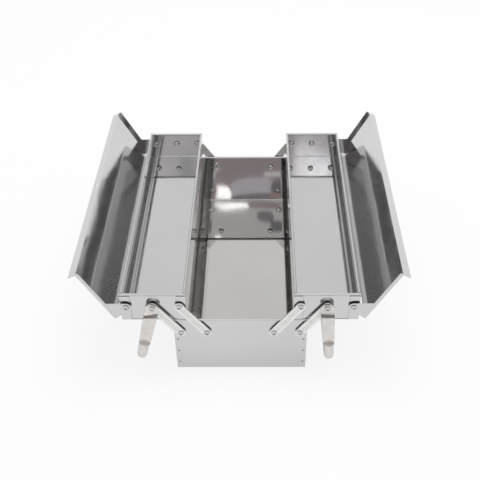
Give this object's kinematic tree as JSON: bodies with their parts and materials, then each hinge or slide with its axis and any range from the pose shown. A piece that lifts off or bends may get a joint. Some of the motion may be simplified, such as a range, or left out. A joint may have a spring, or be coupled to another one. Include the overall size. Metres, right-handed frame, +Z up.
{
  "type": "cantilever toolbox",
  "caption": "Polished stainless steel cantilever toolbox, open: a base box, trays that swing out on parallel links, hinged lids and tubular bail handles.",
  "frame": {"origin": "on the ground, under the middle of the base", "axes": "+Z up, +Y along the box towards its back end, +X to the right seen from the front end"},
  "size_m": [0.3872, 0.3806, 0.1636],
  "materials": {
    "polished_sheet": "mirror-polished stainless sheet",
    "link_steel": "fine brushed stainless strip",
    "rivet_steel": "bright plated rivet steel",
    "handle_steel": "satin stainless tube",
    "foot_rubber": "matte black rubber"
  },
  "bodies": {
    "base": {"base_shell": "polished_sheet", "base_front_end": "polished_sheet", "base_back_end": "polished_sheet", "base_feet": "foot_rubber", "foot_rivets": "rivet_steel", "base_link_rivets": "rivet_steel", "base_link_spacers": "rivet_steel"},
    "left_inner_links": {"left_inner_link_front": "link_steel", "left_inner_link_back": "link_steel"},
    "left_outer_links": {"left_outer_link_front": "link_steel", "left_outer_link_back": "link_steel"},
    "left_tray": {"left_tray_shell": "polished_sheet", "left_tray_front_end": "polished_sheet", "left_tray_back_end": "polished_sheet", "left_tray_rivets": "rivet_steel", "left_tray_link_spacers": "rivet_steel", "left_handle_pin_spacers": "rivet_steel", "left_lid_pin_spacers": "rivet_steel"},
    "left_lid": {"left_lid": "polished_sheet"},
    "left_handle": {"left_handle": "handle_steel", "left_handle_washers": "rivet_steel"},
    "right_inner_links": {"right_inner_link_front": "link_steel", "right_inner_link_back": "link_steel"},
    "right_outer_links": {"right_outer_link_front": "link_steel", "right_outer_link_back": "link_steel"},
    "right_tray": {"right_tray_shell": "polished_sheet", "right_tray_front_end": "polished_sheet", "right_tray_back_end": "polished_sheet", "right_tray_rivets": "rivet_steel", "right_tray_link_spacers": "rivet_steel", "right_handle_pin_spacers": "rivet_steel", "right_lid_pin_spacers": "rivet_steel"},
    "right_lid": {"right_lid": "polished_sheet"},
    "right_handle": {"right_handle": "handle_steel", "right_handle_washers": "rivet_steel"}
  },
  "joints": [
    {"name": "left_tray_swing", "type": "hinge", "parent": "base", "child": "left_inner_links", "pos_m": [-0.0403, 0, 0.068], "axis": [0, 1, 0], "range_deg": [0, 71.23]},
    {"name": "left_outer_link_swing", "type": "hinge", "parent": "base", "child": "left_outer_links", "pos_m": [-0.0713, 0, 0.068], "axis": [0, 1, 0], "range_deg": [0, 71.23]},
    {"name": "left_tray_level", "type": "hinge", "parent": "left_inner_links", "child": "left_tray", "pos_m": [-0.0711, 0, 0.111], "axis": [0, 1, 0], "range_deg": [-71.23, 0]},
    {"name": "left_handle_raise", "type": "hinge", "parent": "left_outer_links", "child": "left_handle", "pos_m": [-0.1021, 0, 0.111], "axis": [0, 1, 0], "range_deg": [0, 118.96]},
    {"name": "left_lid_close", "type": "hinge", "parent": "left_tray", "child": "left_lid", "pos_m": [-0.1331, 0, 0.11], "axis": [0, 1, 0], "range_deg": [0, 118.3]},
    {"name": "right_tray_swing", "type": "hinge", "parent": "base", "child": "right_inner_links", "pos_m": [0.0403, 0, 0.068], "axis": [0, -1, 0], "range_deg": [0, 71.23]},
    {"name": "right_outer_link_swing", "type": "hinge", "parent": "base", "child": "right_outer_links", "pos_m": [0.0713, 0, 0.068], "axis": [0, -1, 0], "range_deg": [0, 71.23]},
    {"name": "right_tray_level", "type": "hinge", "parent": "right_inner_links", "child": "right_tray", "pos_m": [0.0711, 0, 0.111], "axis": [0, -1, 0], "range_deg": [-71.23, 0]},
    {"name": "right_handle_raise", "type": "hinge", "parent": "right_outer_links", "child": "right_handle", "pos_m": [0.1021, 0, 0.111], "axis": [0, -1, 0], "range_deg": [0, 128.96]},
    {"name": "right_lid_close", "type": "hinge", "parent": "right_tray", "child": "right_lid", "pos_m": [0.1331, 0, 0.11], "axis": [0, -1, 0], "range_deg": [0, 118.3]}
  ],
  "couplings": [
    {"joint": "left_outer_link_swing", "follows": "left_tray_swing", "ratio": 1},
    {"joint": "left_tray_level", "follows": "left_tray_swing", "ratio": -1},
    {"joint": "left_lid_close", "follows": "left_handle_raise", "ratio": 0.99445},
    {"joint": "right_outer_link_swing", "follows": "right_tray_swing", "ratio": 1},
    {"joint": "right_tray_level", "follows": "right_tray_swing", "ratio": -1},
    {"joint": "right_lid_close", "follows": "right_handle_raise", "ratio": 0.91733}
  ]
}
